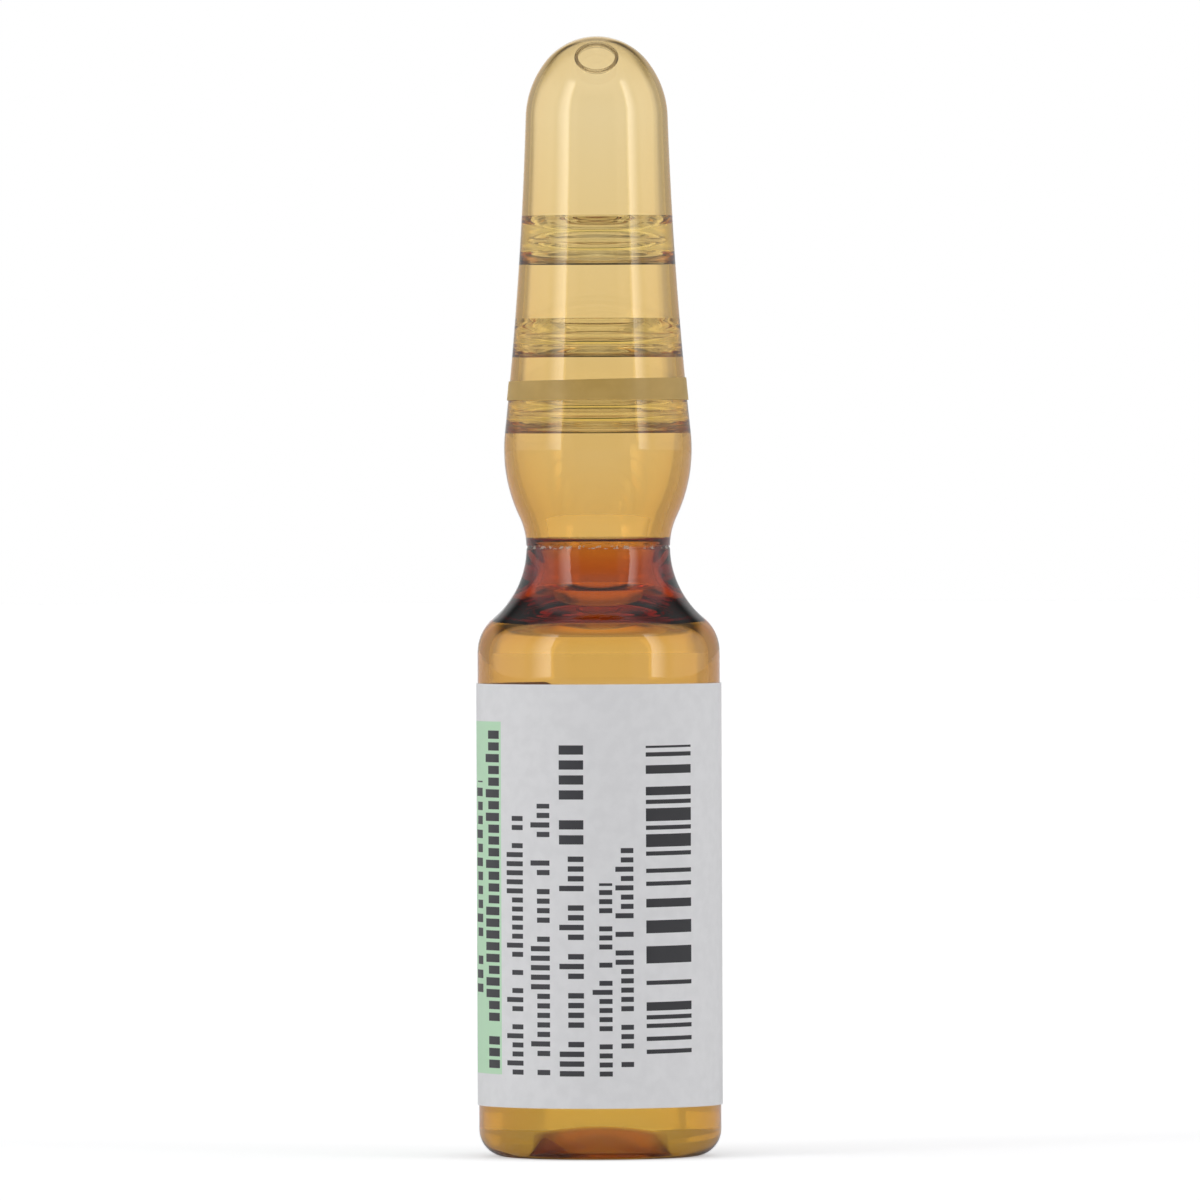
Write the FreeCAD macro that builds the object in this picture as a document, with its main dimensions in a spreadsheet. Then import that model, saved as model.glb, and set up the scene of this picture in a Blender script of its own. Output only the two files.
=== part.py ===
import FreeCAD, Part
import Sketcher
import collections
import math
import os
import re

# A sealed one-millilitre ampoule of amber glass that stands on its foot, with the
# origin at the middle of the foot and +Z up the axis. The glass is one blown
# piece, and gathered thick inside the neck. It holds the liquid charge, a plug of
# liquid caught in the neck, three foam films across the stem, each with a flat
# pocket of air in it, and the foot of a small bubble in the tip. Outside it wears
# a fired enamel ring and a paper label, whose front faces -Y.

# Driving dimensions in millimetres and degrees: name, value, what it sets.
SIZES = [
    ("overall_height", 49.7, "foot to the crown of the tip"),
    ("barrel_diameter", 10.75, "outside of the straight barrel"),
    ("barrel_wall", 0.5, "glass thickness of the tube that it is drawn from"),
    ("neck_wall", 0.47, "glass thickness just above the neck"),
    ("bulb_wall", 0.39, "glass thickness of the bulb"),
    ("tip_wall", 0.22, "glass thickness at the side of the tip"),
    ("foot_corner_radius", 1.2, "outside corner between foot and barrel"),
    ("punt_diameter", 6.9, "hollow under the foot, where it meets the foot ring"),
    ("punt_height", 0.9, "rise of the hollow under the foot"),
    ("base_thickness", 0.5, "glass thickness over the foot"),
    ("foot_edge_radius", 0.5, "rounding where the hollow meets the foot ring"),
    ("neck_height", 27.05, "foot to the narrowest point of the neck"),
    ("neck_diameter", 6.38, "outside of the neck at its narrowest"),
    ("bore_diameter", 3.6, "inside of the neck at its narrowest, where the glass gathered"),
    ("bore_drop", 1.15, "neck down to the narrowest point of its inside"),
    ("bore_lower_radius", 2.19, "rounding from the bore out to the inside of the shoulder"),
    ("bore_upper_radius", 2.27, "rounding from the bore up to the ledge"),
    ("ledge_rise", 0.33, "neck up to the ledge where the gathered glass ends"),
    ("shoulder_radius", 1.9, "convex rounding at the top of the barrel"),
    ("lower_flank_radius", 4.1, "hollow rounding below the neck"),
    ("upper_flank_radius", 3.1, "hollow rounding above the neck"),
    ("bulb_diameter", 8.34, "outside of the bulb above the neck"),
    ("bulb_radius", 7.0, "profile radius of the bulb"),
    ("stem_bow_radius", 185.0, "slow inward bow of the stem"),
    ("tip_diameter", 6.32, "outside of the stem where the tip starts to round"),
    ("tip_height", 3.7, "height of the rounded tip"),
    ("tip_side_radius", 4.2, "profile radius of the side of the tip"),
    ("crown_wall", 0.2, "glass thickness at the crown, where it was sealed"),
    ("score_width", 0.16, "width of the break score cut round the neck"),
    ("score_depth", 0.05, "depth of the break score"),
    ("ring_height", 6.5, "neck to the lower edge of the enamel ring"),
    ("ring_width", 0.92, "width of the enamel ring"),
    ("ring_thickness", 0.05, "thickness of the enamel"),
    ("ring_slant", 1.1, "slant of the ring's upper edge"),
    ("label_bottom", 2.3, "foot to the lower edge of the label"),
    ("label_height", 18.7, "height of the label"),
    ("label_thickness", 0.07, "paper and adhesive together"),
    ("label_left_angle", 159.0, "reach of the label round the left side"),
    ("label_right_angle", 97.0, "reach of the label round the right side"),
    ("label_corner_radius", 0.8, "rounding of the label's corners"),
    ("wetting_angle", 25.0, "angle at which the liquid meets the glass"),
    ("fill_height", 7.4, "foot to the flat middle of the liquid's surface"),
    ("fill_meniscus_radius", 3.0, "curve of the liquid's surface up the wall"),
    ("plug_upper_drop", 0.16, "ledge down to the middle of the plug's upper surface"),
    ("plug_upper_radius", 30.0, "radius of the plug's upper surface"),
    ("plug_lower_drop", 2.5, "neck down to the middle of the plug's lower surface"),
    ("plug_lower_radius", 9.0, "radius of the plug's lower surface"),
    ("film_thickness", 0.04, "thickness of a film over and under its air pocket"),
    ("pocket_inset", 0.18, "wall to the edge of the air pocket in a film"),
    ("pocket_edge_radius", 0.14, "rounding of that edge"),
    ("lower_film_height", 5.85, "neck to the lower film"),
    ("lower_film_rim", 0.8, "depth of the lower film's rim from the wall inwards"),
    ("lower_pocket_height", 0.54, "height of the air pocket in the lower film"),
    ("middle_film_height", 9.3, "neck to the middle film"),
    ("middle_film_rim", 0.95, "depth of the middle film's rim from the wall inwards"),
    ("middle_pocket_height", 0.62, "height of the air pocket in the middle film"),
    ("upper_film_height", 13.55, "neck to the upper film"),
    ("upper_film_rim", 1.1, "depth of the upper film's rim from the wall inwards"),
    ("upper_pocket_height", 0.8, "height of the air pocket in the upper film"),
    ("bubble_diameter", 1.75, "circle on which a bubble sits in the tip"),
    ("bubble_rim", 0.1, "radius of the liquid rim round that bubble's foot"),
    ("bubble_latitude", 42.0, "height of the bubble on the crown's arc"),
]

# Lengths that come out of the profile, measured in its sketch by name.
MEASURED = {
    "outer_bow_x": "(glass_outside_profile.Constraints.bow_x / 1 mm)",
    "outer_bow_z": "(glass_outside_profile.Constraints.bow_z / 1 mm)",
    "bow_x": "(cavity_profile.Constraints.bow_x / 1 mm)",
    "bow_z": "(cavity_profile.Constraints.bow_z / 1 mm)",
    "crown_z": "(cavity_profile.Constraints.crown_z / 1 mm)",
}

FULL_TURN = 360.0
UPRIGHT = FreeCAD.Rotation(FreeCAD.Vector(1, 0, 0), 90)      # a sketch in the XZ plane
FIRST, LAST, CENTRE = range(1, 4)                            # points of a sketch curve
ORIGIN, AXIS = range(-1, -3, -1)                             # a sketch's origin and upright

Curve = collections.namedtuple("Curve", "index start end")
Surface = collections.namedtuple("Surface", "height flat radius end")
Inset = collections.namedtuple("Inset", "barrel neck bulb tip")
Neck = collections.namedtuple("Neck", "radius height lower_radius upper_radius ledge")

doc = FreeCAD.newDocument("ampoule")
sheet = doc.addObject("Spreadsheet::Sheet", "Sizes")
for row, (name, amount, meaning) in enumerate(SIZES, start=1):
    sheet.set(f"A{row}", meaning)
    sheet.set(f"B{row}", str(amount))
    sheet.setAlias(f"B{row}", name)
doc.recompute()
NAMES = {name for name, _, _ in SIZES}


def cells(expression):
    """An expression over the names above, in the words that the document reads."""
    def cell(word):
        if word[0] in NAMES:
            return f"Sizes.{word[0]}"
        return MEASURED.get(word[0], word[0])
    return re.sub(r"[a-z_]+", cell, expression)


def value(expression):
    """What an expression over the names above comes to."""
    return float(sheet.evalExpression(cells(expression)))


class Outline:
    """A run of lines and arcs in a sketch, each drawn on from the end of the last."""

    def __init__(self, sketch, start):
        self.sketch = sketch
        self.at = start
        self.curves = []

    def constrain(self, *constraint):
        return self.sketch.addConstraint(Sketcher.Constraint(*constraint))

    def fix(self, kind, *where, to):
        """Adds a dimension and ties it to an expression."""
        index = self.constrain(kind, *where, value(to))
        self.sketch.setExpression(f"Constraints[{index}]", cells(to))

    def across(self, curve, point, to):
        self.fix("DistanceX", ORIGIN, FIRST, curve.index, point, to=to)

    def up(self, curve, point, to):
        self.fix("DistanceY", ORIGIN, FIRST, curve.index, point, to=to)

    def radius(self, curve, to):
        self.fix("Radius", curve.index, to=to)

    def on_axis(self, curve, point):
        self.constrain("PointOnObject", curve.index, point, AXIS)

    def measure(self, kind, curve, point, name):
        """Adds a named dimension that only reads the sketch."""
        index = self.constrain(kind, ORIGIN, FIRST, curve.index, point, 1.0)
        self.sketch.setDriving(index, False)
        self.sketch.renameConstraint(index, name)

    def join(self, curve, smooth):
        if self.curves:
            last = self.curves[-1]
            kind = "Tangent" if smooth else "Coincident"
            self.constrain(kind, last.index, last.end, curve.index, curve.start)
        self.curves.append(curve)
        return curve

    def line(self, x, y, smooth=False):
        """A straight line on to a point."""
        ends = [FreeCAD.Vector(*self.at), FreeCAD.Vector(x, y)]
        index = self.sketch.addGeometry(Part.LineSegment(*ends), False)
        self.at = (x, y)
        return self.join(Curve(index, FIRST, LAST), smooth)

    def level(self, x, y, smooth=False):
        """A level line on to a point."""
        line = self.line(x, y, smooth)
        self.constrain("Horizontal", line.index)
        return line

    def upright(self, x, y, smooth=False):
        """An upright line on to a point."""
        line = self.line(x, y, smooth)
        self.constrain("Vertical", line.index)
        return line

    def arc(self, centre, end, smooth=True):
        """The shorter arc round a centre on to a point."""
        middle = FreeCAD.Vector(*centre)
        start_angle, end_angle = [
            math.atan2(y - centre[1], x - centre[0]) for x, y in (self.at, end)
        ]
        turn = (end_angle - start_angle + math.pi) % (2 * math.pi) - math.pi
        circle = Part.Circle(middle, FreeCAD.Vector(0, 0, 1), math.dist(centre, self.at))
        if turn > 0:
            arc = Part.ArcOfCircle(circle, start_angle, start_angle + turn)
            ends = (FIRST, LAST)
        else:
            arc = Part.ArcOfCircle(circle, end_angle, end_angle - turn)
            ends = (LAST, FIRST)
        index = self.sketch.addGeometry(arc, False)
        self.at = end
        return self.join(Curve(index, *ends), smooth)

    def close(self):
        last, first = self.curves[-1], self.curves[0]
        self.constrain("Coincident", last.index, last.end, first.index, first.start)


def start_sketch(body, name, role="XZ_Plane"):
    """An empty sketch on one of its body's own origin planes."""
    sketch = body.newObject("Sketcher::SketchObject", name)
    plane = next(f for f in body.Origin.OriginFeatures if f.Role == role)
    sketch.AttachmentSupport = [(plane, "")]
    sketch.MapMode = "FlatFace"
    return sketch


def revolve(body, sketch, kind="PartDesign::Revolution"):
    """A full turn of a sketch about its upright axis, added to the body or cut from it."""
    turned = body.newObject(kind, f"{sketch.Name}_turned")
    turned.Profile = sketch
    turned.ReferenceAxis = (sketch, ["V_Axis"])
    turned.Angle = FULL_TURN
    doc.recompute()
    return turned


def boolean(kind, name, base, tool):
    """A cut or a common of two objects, as a sub-part of its own."""
    made = doc.addObject(kind, name)
    made.Base = base
    made.Tool = tool
    made.Label = name
    doc.recompute()
    return made


# The glass. Its outside and its cavity are one chain of curves. The cavity's arcs
# are smaller by the wall where the glass bulges and larger where it is hollow,
# and the wall thins from the barrel to the tip, as the tube was drawn out. In the
# neck the softened glass gathered inwards up to a ledge, so the cavity has a bore
# of its own there, with its narrowest point below that of the outside.

def between(a, b, share):
    """The point on the line from a to b at that share of the way."""
    return (a[0] + (b[0] - a[0]) * share, a[1] + (b[1] - a[1]) * share)


def arcs_meet(a, radius_a, b, radius_b):
    """The point right of the line from a to b that lies at those distances."""
    gap = math.dist(a, b)
    along = (radius_a ** 2 - radius_b ** 2 + gap ** 2) / (2 * gap)
    aside = math.sqrt(radius_a ** 2 - along ** 2)
    ux, uy = (b[0] - a[0]) / gap, (b[1] - a[1]) / gap
    return (a[0] + ux * along + uy * aside, a[1] + uy * along - ux * aside)


def joint(a, radius_a, b, radius_b):
    """Where two arcs of opposite bend meet smoothly, on the line of their centres."""
    return between(a, b, radius_a / (radius_a + radius_b))


def draw_ledge(outline, neck, upper_at, upper_r):
    """The bore from its narrowest point up to the ledge, and the ledge out to the wall."""
    ledge_z, rise_r = value(neck.ledge), value(neck.upper_radius)
    rise_at = (outline.at[0] + rise_r, outline.at[1])
    rim_x = rise_at[0] - math.sqrt(rise_r ** 2 - (ledge_z - rise_at[1]) ** 2)
    wall_x = upper_at[0] - math.sqrt(upper_r ** 2 - (ledge_z - upper_at[1]) ** 2)
    rise_arc = outline.arc(rise_at, (rim_x, ledge_z), smooth=False)
    outline.level(wall_x, ledge_z)
    return rise_arc


def draw_profile(sketch, inset, neck, foot, punt, crown):
    """Half of the profile, from the axis over the foot out and up to the crown.

    The arguments are expressions: how far inside the glass's outer surface the
    profile lies in each stretch, the form of its neck, and the heights of its
    foot, punt and crown. A neck with no ledge runs straight on into the bulb.
    """
    foot_z, punt_z, top_z = value(foot), value(punt), value(crown)
    barrel_x = value(f"barrel_diameter / 2 - {inset.barrel}")
    corner_r = value(f"foot_corner_radius - {inset.barrel}")
    shoulder_r = value(f"shoulder_radius - {inset.barrel}")
    lower_r = value(neck.lower_radius)
    upper_r = value(f"upper_flank_radius + {inset.neck}")
    bulb_r = value(f"bulb_radius - {inset.bulb}")
    bow_r = value(f"stem_bow_radius + {inset.tip}")
    side_r = value(f"tip_side_radius - {inset.tip}")
    neck_x, neck_z = value(neck.radius), value(neck.height)

    # centres of the arcs, from the foot up
    punt_radius = f"((punt_diameter / 2)^2 + ({punt} - {foot})^2) / (2 * ({punt} - {foot}))"
    punt_r, edge_r = value(punt_radius), value("foot_edge_radius")
    punt_at = (0, punt_z - punt_r)
    edge_z = foot_z + edge_r
    edge_at = (math.sqrt((punt_r + edge_r) ** 2 - (edge_z - punt_at[1]) ** 2), edge_z)
    corner_at = (barrel_x - corner_r, foot_z + corner_r)
    lower_at = (neck_x + lower_r, neck_z)
    shoulder_x = barrel_x - shoulder_r
    shoulder_drop = math.sqrt((shoulder_r + lower_r) ** 2 - (lower_at[0] - shoulder_x) ** 2)
    shoulder_at = (shoulder_x, neck_z - shoulder_drop)
    upper_at = (value("neck_diameter / 2 + upper_flank_radius"), value("neck_height"))
    bulb_x = value("bulb_diameter / 2 - bulb_radius")
    bulb_rise = math.sqrt((upper_r + bulb_r) ** 2 - (upper_at[0] - bulb_x) ** 2)
    bulb_at = (bulb_x, upper_at[1] + bulb_rise)
    side_at = (value("tip_diameter / 2 - tip_side_radius"), value("overall_height - tip_height"))
    bow_at = arcs_meet(bulb_at, bulb_r + bow_r, side_at, side_r + bow_r)
    short = side_r - top_z
    crown_z = (side_at[0] ** 2 + side_at[1] ** 2 - short ** 2) / (2 * (side_at[1] + short))
    crown_r = top_z - crown_z
    crown_at = (0, crown_z)

    outline = Outline(sketch, (0, punt_z))
    punt_arc = outline.arc(punt_at, joint(punt_at, punt_r, edge_at, edge_r))
    edge_arc = outline.arc(edge_at, (edge_at[0], foot_z))
    outline.level(corner_at[0], foot_z, smooth=True)
    corner_arc = outline.arc(corner_at, (barrel_x, corner_at[1]))
    barrel_line = outline.upright(barrel_x, shoulder_at[1], smooth=True)
    shoulder_arc = outline.arc(shoulder_at, joint(shoulder_at, shoulder_r, lower_at, lower_r))
    lower_arc = outline.arc(lower_at, (neck_x, neck_z))
    if neck.ledge:
        rise_arc = draw_ledge(outline, neck, upper_at, upper_r)
    upper_arc = outline.arc(upper_at, joint(upper_at, upper_r, bulb_at, bulb_r), smooth=False)
    bulb_arc = outline.arc(bulb_at, joint(bulb_at, bulb_r, bow_at, bow_r))
    bow_arc = outline.arc(bow_at, joint(bow_at, bow_r, side_at, side_r))
    side_arc = outline.arc(side_at, between(side_at, crown_at, side_r / (side_r - crown_r)))
    crown_arc = outline.arc(crown_at, (0, top_z))
    axis_line = outline.line(0, punt_z)
    outline.close()

    outline.on_axis(punt_arc, CENTRE)
    outline.on_axis(punt_arc, punt_arc.start)
    outline.up(punt_arc, punt_arc.start, punt)
    outline.radius(punt_arc, punt_radius)
    outline.radius(edge_arc, "foot_edge_radius")
    outline.up(edge_arc, edge_arc.end, foot)
    outline.radius(corner_arc, f"foot_corner_radius - {inset.barrel}")
    outline.across(barrel_line, FIRST, f"barrel_diameter / 2 - {inset.barrel}")
    outline.radius(shoulder_arc, f"shoulder_radius - {inset.barrel}")
    outline.radius(lower_arc, neck.lower_radius)
    outline.across(lower_arc, CENTRE, f"{neck.radius} + {neck.lower_radius}")
    outline.up(lower_arc, CENTRE, neck.height)
    outline.up(lower_arc, lower_arc.end, neck.height)
    if neck.ledge:
        outline.radius(rise_arc, neck.upper_radius)
        outline.up(rise_arc, CENTRE, neck.height)
        outline.up(upper_arc, upper_arc.start, neck.ledge)
        outline.across(upper_arc, CENTRE, "neck_diameter / 2 + upper_flank_radius")
    outline.radius(upper_arc, f"upper_flank_radius + {inset.neck}")
    outline.up(upper_arc, CENTRE, "neck_height")
    outline.radius(bulb_arc, f"bulb_radius - {inset.bulb}")
    outline.across(bulb_arc, CENTRE, "bulb_diameter / 2 - bulb_radius")
    outline.radius(bow_arc, f"stem_bow_radius + {inset.tip}")
    outline.radius(side_arc, f"tip_side_radius - {inset.tip}")
    outline.across(side_arc, CENTRE, "tip_diameter / 2 - tip_side_radius")
    outline.up(side_arc, CENTRE, "overall_height - tip_height")
    outline.on_axis(crown_arc, CENTRE)
    outline.on_axis(crown_arc, crown_arc.end)
    outline.up(axis_line, FIRST, crown)
    outline.measure("DistanceX", bow_arc, CENTRE, "bow_x")
    outline.measure("DistanceY", bow_arc, CENTRE, "bow_z")
    outline.measure("DistanceY", crown_arc, CENTRE, "crown_z")


def turn_profile(name, inset, neck, foot, punt, crown):
    """A body turned from the profile."""
    body = doc.addObject("PartDesign::Body", name)
    sketch = start_sketch(body, f"{name}_profile")
    draw_profile(sketch, inset, neck, foot, punt, crown)
    revolve(body, sketch)
    return body


def cut_score(body):
    """The break score, a fine V groove round the narrowest point of the neck."""
    sketch = start_sketch(body, "break_score")
    neck_z = value("neck_height")
    root_x = value("neck_diameter / 2 - score_depth")
    mouth_x = value("neck_diameter / 2 + score_depth")
    reach = value("score_width")
    outline = Outline(sketch, (root_x, neck_z))
    lower = outline.line(mouth_x, neck_z - reach)
    mouth = outline.upright(mouth_x, neck_z + reach)
    outline.line(root_x, neck_z)
    outline.close()
    outline.across(lower, FIRST, "neck_diameter / 2 - score_depth")
    outline.up(lower, FIRST, "neck_height")
    outline.across(mouth, FIRST, "neck_diameter / 2 + score_depth")
    outline.up(mouth, FIRST, "neck_height - score_width")
    outline.up(mouth, LAST, "neck_height + score_width")
    doc.recompute()
    before = body.Shape.Volume
    revolve(body, sketch, "PartDesign::Groove")
    if body.Shape.Volume >= before:
        raise RuntimeError("the break score cuts nothing")


# The enamel ring, fired on the stem: a thin band that follows the bow of the
# glass, with its upper edge cut on a slant.

def draw_ring(sketch):
    """The ring's section, between the bow of the stem and an arc about the same centre."""
    base_z = value("neck_height + ring_height")
    top_z = value("neck_height + ring_height + 2 * ring_width")
    centre = (value("outer_bow_x"), value("outer_bow_z"))
    inner_base, inner_top, outer_base, outer_top = [
        (centre[0] - math.sqrt(radius ** 2 - (z - centre[1]) ** 2), z)
        for radius in (value("stem_bow_radius"), value("stem_bow_radius - ring_thickness"))
        for z in (base_z, top_z)
    ]
    outline = Outline(sketch, inner_base)
    outline.level(*outer_base)
    face = outline.arc(centre, outer_top, smooth=False)
    outline.level(*inner_top)
    back = outline.arc(centre, inner_base, smooth=False)
    outline.close()
    outline.radius(back, "stem_bow_radius")
    outline.across(back, CENTRE, "outer_bow_x")
    outline.up(back, CENTRE, "outer_bow_z")
    outline.up(back, back.end, "neck_height + ring_height")
    outline.up(back, back.start, "neck_height + ring_height + 2 * ring_width")
    outline.constrain("Coincident", face.index, CENTRE, back.index, CENTRE)
    outline.radius(face, "stem_bow_radius - ring_thickness")


def draw_slant(sketch):
    """What comes off above the ring: a block with a slanted lower side."""
    side = value("barrel_diameter / 2")
    fall = "barrel_diameter / 2 * tan(ring_slant)"
    middle = "neck_height + ring_height + ring_width"
    outline = Outline(sketch, (-side, value(f"{middle} - {fall}")))
    slope = outline.line(side, value(f"{middle} + {fall}"))
    outline.upright(side, value(f"{middle} + 3 * ring_width"))
    outline.level(-side, value(f"{middle} + 3 * ring_width"))
    left = outline.upright(-side, value(f"{middle} - {fall}"))
    outline.close()
    outline.across(slope, FIRST, "-barrel_diameter / 2")
    outline.across(slope, LAST, "barrel_diameter / 2")
    outline.up(slope, FIRST, f"{middle} - {fall}")
    outline.up(slope, LAST, f"{middle} + {fall}")
    outline.up(left, FIRST, f"{middle} + 3 * ring_width")


def make_ring():
    body = doc.addObject("PartDesign::Body", "enamel_ring")
    section = start_sketch(body, "ring_section")
    draw_ring(section)
    revolve(body, section)
    before = body.Shape.Volume
    slant = start_sketch(body, "ring_slant")
    draw_slant(slant)
    pocket = body.newObject("PartDesign::Pocket", "ring_upper_edge")
    pocket.Profile = slant
    pocket.Midplane = True
    pocket.setExpression("Length", cells("2 * barrel_diameter"))
    doc.recompute()
    if not 0.4 * before < body.Shape.Volume < 0.6 * before:
        raise RuntimeError("the slant leaves the wrong half of the ring")
    return body


# The label, a paper band round the barrel with rounded corners.

def draw_label(sketch):
    """The label's section across the barrel, between two arcs and two radial ends."""
    axis, up = FreeCAD.Vector(0, 0), FreeCAD.Vector(0, 0, 1)
    radii = [value("barrel_diameter / 2"), value("barrel_diameter / 2 + label_thickness")]
    left = math.radians(value("-90 - label_left_angle"))
    right = math.radians(value("-90 + label_right_angle"))
    inner, outer = [
        sketch.addGeometry(Part.ArcOfCircle(Part.Circle(axis, up, r), left, right), False)
        for r in radii
    ]
    outline = Outline(sketch, (0, 0))
    for arc, to in (inner, "barrel_diameter / 2"), (outer, "barrel_diameter / 2 + label_thickness"):
        outline.constrain("Coincident", arc, CENTRE, ORIGIN, FIRST)
        outline.fix("Radius", arc, to=to)
    sides = (left, FIRST, "-sin(label_left_angle)"), (right, LAST, "sin(label_right_angle)")
    for angle, point, reach in sides:
        ends = [FreeCAD.Vector(r * math.cos(angle), r * math.sin(angle)) for r in radii]
        end = sketch.addGeometry(Part.LineSegment(*ends), False)
        outline.constrain("Coincident", inner, point, end, FIRST)
        outline.constrain("Coincident", outer, point, end, LAST)
        outline.constrain("PointOnObject", ORIGIN, FIRST, end)
        outline.fix("DistanceX", ORIGIN, FIRST, end, FIRST, to=f"barrel_diameter / 2 * {reach}")


def make_label():
    body = doc.addObject("PartDesign::Body", "paper_label")
    sketch = start_sketch(body, "label_section", "XY_Plane")
    sketch.setExpression("AttachmentOffset.Base.z", cells("label_bottom"))
    draw_label(sketch)
    band = body.newObject("PartDesign::Pad", "label_band")
    band.Profile = sketch
    band.setExpression("Length", cells("label_height"))
    doc.recompute()
    corners = [
        f"Edge{number}"
        for number, edge in enumerate(band.Shape.Edges, start=1)
        if abs(edge.Length - value("label_thickness")) < 1e-6
    ]
    rounded = body.newObject("PartDesign::Fillet", "label_corners")
    rounded.Base = (band, corners)
    rounded.setExpression("Radius", cells("label_corner_radius"))
    doc.recompute()
    return body


# The liquids. Each is turned from the share of the cavity's section that lies
# between two surfaces. A surface may run level from the axis, and then curls
# away from the liquid's middle along an arc that ends inside the glass.

def section_face(name, sketch):
    """The flat face inside a closed sketch."""
    face = doc.addObject("Part::Face", name)
    face.Sources = [sketch]
    doc.recompute()
    return face


def draw_surface(outline, surface, curl, outer_x, outwards):
    """One surface of a slug, drawn from the axis outwards or from outside back to it."""
    height, radius = value(surface.height), value(surface.radius)
    end_z = value(surface.end)
    flat_x = value(surface.flat) if surface.flat else 0.0
    centre = (flat_x, height + curl * radius)
    end_x = flat_x + math.sqrt(radius ** 2 - (end_z - centre[1]) ** 2)
    flat = None
    if outwards:
        if surface.flat:
            flat = outline.level(flat_x, height)
        arc = outline.arc(centre, (end_x, end_z), smooth=bool(flat))
        outline.level(outer_x, end_z)
        inner_end, outer_end = arc.start, arc.end
    else:
        outline.level(end_x, end_z)
        arc = outline.arc(centre, (flat_x, height), smooth=False)
        if surface.flat:
            flat = outline.level(0, height, smooth=True)
        inner_end, outer_end = arc.end, arc.start
    outline.radius(arc, surface.radius)
    outline.up(arc, inner_end, surface.height)
    outline.up(arc, outer_end, surface.end)
    if flat:
        outline.across(arc, inner_end, surface.flat)
        outline.on_axis(flat, flat.start if outwards else flat.end)
    else:
        outline.on_axis(arc, CENTRE)
        outline.on_axis(arc, inner_end)


def draw_slug(sketch, lower, upper):
    """Half the section of a slug, wider than the cavity, between two surfaces."""
    outer_x = value("barrel_diameter / 2")
    outline = Outline(sketch, (0, value(lower.height)))
    if lower.radius:
        draw_surface(outline, lower, -1, outer_x, outwards=True)
    else:
        floor = outline.level(outer_x, value(lower.height))
        outline.on_axis(floor, FIRST)
        outline.up(floor, FIRST, lower.height)
    side = outline.upright(outer_x, value(upper.end))
    outline.across(side, FIRST, "barrel_diameter / 2")
    draw_surface(outline, upper, 1, outer_x, outwards=False)
    outline.line(0, value(lower.height))
    outline.close()


def make_liquid(name, hollow, lower, upper, pocket=None):
    """What lies between two surfaces in the cavity's section, turned about the axis."""
    sketch = doc.addObject("Sketcher::SketchObject", f"{name}_slug")
    sketch.Placement = FreeCAD.Placement(FreeCAD.Vector(), UPRIGHT)
    draw_slug(sketch, lower, upper)
    slug = section_face(f"{name}_slug_face", sketch)
    section = boolean("Part::Common", f"{name}_section", hollow, slug)
    if section.Shape.Area < 1e-3:
        raise RuntimeError(f"{name} has no place in the cavity")
    if pocket:
        section = boolean("Part::Cut", f"{name}_round_its_pocket", section, pocket)
    turned = doc.addObject("Part::Revolution", name)
    turned.Source = section
    turned.Axis = FreeCAD.Vector(0, 0, 1)
    turned.Angle = FULL_TURN
    turned.Label = name
    doc.recompute()
    return turned


def make_charge(hollow):
    """The liquid that the ampoule is filled with."""
    flat = "barrel_diameter / 2 - barrel_wall - fill_meniscus_radius * cos(wetting_angle)"
    rim = "fill_height + fill_meniscus_radius * 0.9"
    return make_liquid(
        "liquid_charge",
        hollow,
        lower=Surface("0", None, None, None),
        upper=Surface("fill_height", flat, "fill_meniscus_radius", rim),
    )


def make_plug(hollow):
    """The liquid held across the neck by its own surface."""
    upper = Surface(
        height="neck_height + ledge_rise - plug_upper_drop",
        flat=None,
        radius="plug_upper_radius",
        end="neck_height + ledge_rise",
    )
    lower = Surface(
        height="neck_height - plug_lower_drop",
        flat=None,
        radius="plug_lower_radius",
        end="neck_height - plug_lower_drop - plug_lower_radius * 0.06",
    )
    return make_liquid("neck_plug", hollow, lower, upper)


def draw_pocket(sketch, height, flat, half, edge):
    """Half the section of a flat pocket of air, level near the axis and thin at its edge.

    Its upper and lower side each run level and then fall along an arc to the small
    arc of the edge, which lies inside them and meets them smoothly.
    """
    z, flat_x, half_z = value(height), value(flat), value(half)
    edge_x, edge_r = value(edge), value("pocket_edge_radius")
    long_r = ((edge_x - flat_x) ** 2 + half_z ** 2 - edge_r ** 2) / (2 * (half_z - edge_r))
    edge_at, low_at, high_at = (edge_x, z), (flat_x, z - half_z + long_r), (flat_x, z + half_z - long_r)
    share = long_r / (long_r - edge_r)
    outline = Outline(sketch, (0, z - half_z))
    lower = outline.level(flat_x, z - half_z)
    outline.arc(low_at, between(low_at, edge_at, share))
    edge_arc = outline.arc(edge_at, between(high_at, edge_at, share))
    outline.arc(high_at, (flat_x, z + half_z))
    upper = outline.level(0, z + half_z, smooth=True)
    outline.line(0, z - half_z)
    outline.close()
    outline.on_axis(lower, FIRST)
    outline.on_axis(upper, LAST)
    outline.up(lower, FIRST, f"{height} - {half}")
    outline.up(upper, LAST, f"{height} + {half}")
    outline.across(lower, LAST, flat)
    outline.across(upper, FIRST, flat)
    outline.radius(edge_arc, "pocket_edge_radius")
    outline.across(edge_arc, CENTRE, edge)
    outline.up(edge_arc, CENTRE, height)


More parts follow.
